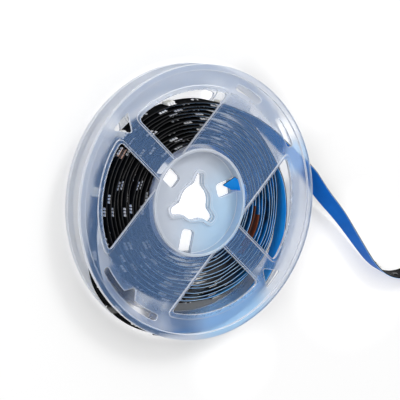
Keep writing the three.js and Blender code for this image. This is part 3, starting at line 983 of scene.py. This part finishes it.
def spoke_hole_outline(sign):
    """The three-cornered hole at a spoke's outer end."""
    half = math.asin(SPOKE_HOLE_HALF_WIDTH / SLOT_OUTER)
    reach = SPOKE_HOLE_HALF_WIDTH - SPOKE_HOLE_MARGIN
    corners = [(polar(SLOT_OUTER, -half), SPOKE_HOLE_CORNER)]
    corners += [(p, 0) for p in arc(SLOT_OUTER, -half, half)[1:-1] if abs(p.y) < reach]
    corners += [(polar(SLOT_OUTER, half), SPOKE_HOLE_CORNER)]
    corners += [(Vector((SLOT_OUTER - SPOKE_HOLE_DEPTH, 0)), SPOKE_HOLE_CORNER)]
    return [p * sign for p in rounded(corners)]


def spindle_outline(growth):
    """The round spindle hole with its three lobes."""
    radius = SPINDLE_RADIUS + growth
    root = math.radians(LOBE_ROOT_HALF_ANGLE)
    neck_radius = radius * math.cos(root) + LOBE_NECK_RISE
    neck_half = LOBE_HALF_WIDTH + growth + LOBE_NECK_FLARE
    tip_half = LOBE_TIP_HALF_WIDTH + growth
    apart = math.radians(LOBE_ANGLES[1] - LOBE_ANGLES[0])
    points = []
    for middle in (math.radians(a) for a in LOBE_ANGLES):
        right, left = middle - math.pi / 2, middle + math.pi / 2
        neck, tip = polar(neck_radius, middle), polar(LOBE_REACH + growth, middle)
        points += rounded([
            (polar(radius, middle - root), 0),
            (neck + polar(neck_half, right), LOBE_NECK_CORNER),
            (tip + polar(tip_half, right), tip_half),
            (tip + polar(tip_half, left), tip_half),
            (neck + polar(neck_half, left), LOBE_NECK_CORNER),
            (polar(radius, middle + root), 0),
        ])
        points += arc(radius, middle + root, middle + apart - root, SPINDLE_ARC_STEP)[1:-1]
    return points


def hook_hole_outline(angle, reach):
    """A hole of the hub floor that runs out through the hub wall."""
    half = HOOK_HOLE_WIDTH / 2
    ends = ((HOOK_HOLE_INNER, HOOK_HOLE_CORNER), (reach, 0))
    corners = [(Vector((x, -half)), corner) for x, corner in ends]
    corners += [(Vector((x, half)), corner) for x, corner in ends[::-1]]
    turn = Matrix.Rotation(angle, 2)
    return [turn @ p for p in rounded(corners)]


def prism(outline, bottom, top):
    """A closed upright prism over one outline, as a temporary object, in millimetres."""
    bm = bmesh.new()
    low = [bm.verts.new((p.x, p.y, bottom)) for p in outline]
    high = [bm.verts.new((p.x, p.y, top)) for p in outline]
    count = len(outline)
    for k in range(count):
        bm.faces.new((low[k], low[(k + 1) % count], high[(k + 1) % count], high[k]))
    bm.faces.new(low[::-1])
    bm.faces.new(high)
    bmesh.ops.recalc_face_normals(bm, faces=bm.faces)
    mesh = bpy.data.meshes.new("prism")
    bm.to_mesh(mesh)
    bm.free()
    return add_object("prism", mesh)


def combine(obj, other, operation):
    """Joins or cuts obj with another temporary object, which is removed."""
    modifier = obj.modifiers.new("combine", "BOOLEAN")
    modifier.operation = operation
    modifier.object = other
    modifier.solver = "MANIFOLD"
    bake(obj)
    bpy.data.objects.remove(other)


def bake(obj):
    """Makes what the modifiers show the object's own mesh."""
    bpy.context.view_layer.update()
    shown = obj.evaluated_get(bpy.context.evaluated_depsgraph_get())
    mesh = bpy.data.meshes.new_from_object(shown)
    obj.modifiers.clear()
    old = obj.data
    obj.data = mesh
    bpy.data.meshes.remove(old)


# Numbers of a reel half's materials
FACE_LOOKS = 0
EDGE_LOOKS = 1
HUB_LOOKS = 2


def reel_half_mesh():
    """One half of the reel in its own frame, in millimetres: +X along a narrow spoke, +Z outwards."""
    plate_root = CHANNEL_HALF + OVERLAP
    cut_top = HALF_WIDTH + CUT_PAST
    half = prism(circle(FLANGE_RADIUS), CHANNEL_HALF, PLATE_TOP)
    bead = prism(circle(FLANGE_RADIUS), plate_root, HALF_WIDTH)
    combine(bead, prism(circle(FLANGE_RADIUS - BEAD_WIDTH), CHANNEL_HALF, cut_top), "DIFFERENCE")
    combine(half, bead, "UNION")
    for x, y in ((1, 1), (-1, 1), (-1, -1), (1, -1)):
        border = window_outline(x, y, BORDER_WIDTH, SPOKE_BORDER_WIDTH, WINDOW_CORNER + BORDER_WIDTH)
        combine(half, prism(border, plate_root, PLATE_TOP + BORDER_HEIGHT), "UNION")
        combine(half, prism(window_outline(x, y, 0, 0, WINDOW_CORNER), 0, cut_top), "DIFFERENCE")
    near, far = (math.radians(a) for a in SPLIT_SLOT_ANGLES)
    long_half = math.radians(LONG_SLOT_HALF_ANGLE)
    for outline in (
        slot_outline(math.pi / 2, -long_half, long_half, notch=True),
        slot_outline(-math.pi / 2, near, far),
        slot_outline(-math.pi / 2, -far, -near),
        spoke_hole_outline(1),
        spoke_hole_outline(-1),
        circle(HUB_MOUTH),
    ):
        combine(half, prism(outline, 0, cut_top), "DIFFERENCE")
    wall = prism(circle(HUB_OUTER), FLOOR_BOTTOM, HUB_TOP)
    combine(wall, prism(circle(HUB_MOUTH), FLOOR_TOP, cut_top), "DIFFERENCE")
    collar = prism(spindle_outline(COLLAR_WALL), FLOOR_BOTTOM + OVERLAP, FLOOR_TOP + COLLAR_HEIGHT)
    combine(wall, collar, "UNION")
    combine(half, wall, "UNION")
    combine(half, prism(spindle_outline(0), 0, HALF_WIDTH), "DIFFERENCE")
    for degrees in HOOK_HOLE_ANGLES:
        outline = hook_hole_outline(math.radians(degrees), HUB_OUTER + 2 * CUT_PAST)
        combine(half, prism(outline, 0, CHANNEL_HALF), "DIFFERENCE")
    half.modifiers.new("weld", "WELD").merge_threshold = WELD_DISTANCE
    half.modifiers.new("triangles", "TRIANGULATE")
    bevel = half.modifiers.new("bevel", "BEVEL")
    bevel.width = EDGE_BEVEL
    bevel.segments = 2
    bevel.limit_method = "ANGLE"
    bevel.angle_limit = math.radians(EDGE_BEVEL_ANGLE)
    bevel.use_clamp_overlap = False
    bevel.material = EDGE_LOOKS
    half.data.materials.clear()
    for material in (reel_face, reel_edge, reel_hub):
        half.data.materials.append(material)
    bake(half)
    for face in half.data.polygons:
        if face.material_index != FACE_LOOKS:
            continue
        if math.hypot(*face.center.xy) < HUB_OUTER + HUB_MARGIN:
            face.material_index = HUB_LOOKS
        elif abs(face.normal.z) < EDGE_NORMAL_LIMIT:
            face.material_index = EDGE_LOOKS
    mesh = half.data.copy()
    bpy.data.objects.remove(half)
    mesh.transform(Matrix.Scale(MM, 4))
    return mesh


half_mesh = reel_half_mesh()
half_mesh.name = "reel_half"
shade(half_mesh, 30)
front_place = Matrix.Translation((0, 0, HALF_WIDTH * MM)) @ Matrix.Rotation(math.radians(SPOKE_ANGLE), 4, "Z")
for name, place, node in (
    ("front_half", front_place, "front_reel_half"),
    ("rear_half", front_place @ Matrix.Rotation(math.pi, 4, "X"), "rear_reel_half"),
):
    mesh = half_mesh.copy()
    mesh.transform(place)
    piece = add_object(name, mesh)
    piece.modifiers.new("normals", "WEIGHTED_NORMAL").keep_sharp = True
    dress(piece, [node])


# The stage: a pale floor with discs of painted light and shade, a bright surround and two soft lamps

FLOOR_HALF = 4
FLOOR_GAP = 0.2
FLOOR_PAINT = 0.72
# How far the painted shade of the darker discs may lower the floor's paint
DARKEST_PAINT = -0.3
# Discs of the floor, as a centre, an inner and an outer radius in millimetres, and how much brighter or
# darker the floor is there: the whole floor, the floor under the reel, then what its openings show.
# Apart from the even glow of the whole floor, the discs are painted light and shade. Brighter ones lift the
# reel's shadow under it, below it and at its upper right, lift the free end's shadow and whiten what the
# openings show.
# Darker ones put painted shade into what the lower window and the lower left slot show, and near the rim's
# upper right.
FLOOR_GLOW = [
    ((0, 0), 9000, 9001, 0.16), ((2, -1), 71, 80, 0.40), ((0, -60), 7, 18, -0.9), ((21, -58), 7, 18, -0.9),
    ((39, -51), 7, 18, -0.9), ((48, 52), 6, 30, -0.16), ((32, -90), 8, 36, 0.12), ((118, -48), 22, 55, 0.2),
    ((66, 34), 4, 11, 0.7), ((66, 13), 4, 11, 0.5), ((19, 57), 4, 11, 0.4), ((4, -2), 22, 30, 0.25),
    ((-46, -38), 3, 9, -0.9), ((-42, -44), 3, 9, -0.75), ((-37, -50), 3, 9, -0.5), ((-22, -60), 3, 9, -0.5),
    ((75, 60), 12, 40, 0.12),
]


def add_floor():
    """Pale matt paint with a glow for what the camera sees directly, in gloss or through clear plastic. Both
    follow the discs: the glow is painted light where they are brighter, and glow and paint are painted shade
    where they are darker.
    """
    bm = bmesh.new()
    bmesh.ops.create_grid(bm, x_segments=2, y_segments=2, size=FLOOR_HALF)
    mesh = bpy.data.meshes.new("floor")
    bm.to_mesh(mesh)
    bm.free()
    material = bpy.data.materials.new("floor")
    material.use_nodes = True
    material.node_tree.nodes.clear()
    nodes = Nodes(material.node_tree)
    level = None
    for (x, y), inner, outer, value in FLOOR_GLOW:
        disc = nodes.fade((x, y, 0), inner, outer, value, 0)
        level = disc if level is None else nodes.number("ADD", level, disc)
    rays = nodes.node("ShaderNodeLightPath").outputs
    seen = nodes.number("MAXIMUM", rays["Is Camera Ray"], rays["Is Glossy Ray"])
    seen = nodes.number("MAXIMUM", seen, rays["Is Transmission Ray"])
    strength = nodes.number("MULTIPLY", seen, nodes.number("MAXIMUM", level, 0))
    glow = nodes.node("ShaderNodeEmission", {"Color": (1, 0.995, 1, 1), "Strength": strength})
    # Painted shade: where the discs are darker, the floor's paint is darker too.
    darker = nodes.node("ShaderNodeClamp", {"Value": level, "Min": DARKEST_PAINT, "Max": 0}).outputs[0]
    paint = nodes.number("ADD", darker, FLOOR_PAINT, use_clamp=True)
    diffuse = nodes.node("ShaderNodeBsdfDiffuse", {"Color": paint})
    both = nodes.node("ShaderNodeAddShader", {0: diffuse.outputs[0], 1: glow.outputs[0]})
    nodes.node("ShaderNodeOutputMaterial", {"Surface": both.outputs[0]})
    floor = add_object("floor", mesh, [material])
    floor.location.z = -FLOOR_GAP * MM


def add_lamp(name, place, size, power):
    """A round lamp that shines at the reel."""
    data = bpy.data.lights.new(name, "AREA")
    data.shape = "DISK"
    data.size = size
    data.energy = power
    lamp = add_object(name, data)
    lamp.location = place
    lamp.rotation_mode = "QUATERNION"
    lamp.rotation_quaternion = (-Vector(place)).to_track_quat("-Z", "Y")


def add_world(level, rise, direction, power):
    """A plain bright surround that is brighter towards one direction. power is that of its falloff."""
    world = bpy.data.worlds.new("world")
    world.use_nodes = True
    nodes = Nodes(world.node_tree)
    facing = nodes.vector("DOT_PRODUCT", nodes.places["Generated"], Vector(direction).normalized())["Value"]
    falloff = nodes.number("POWER", nodes.node("ShaderNodeClamp", {"Value": facing}).outputs[0], power)
    background = world.node_tree.nodes["Background"]
    nodes.put((1, 1, 1, 1), background.inputs["Color"])
    nodes.put(nodes.number("MULTIPLY_ADD", falloff, rise, level), background.inputs["Strength"])
    scene.world = world


add_floor()
add_world(level=0.64, rise=0.9, direction=(0.35, 0.55, 0.75), power=5)
add_lamp("key", (0.75, 0.95, 1.1), size=0.5, power=8)
add_lamp("fill", (-1.05, 0.3, 0.75), size=0.6, power=5)
scene.view_settings.view_transform = "Standard"
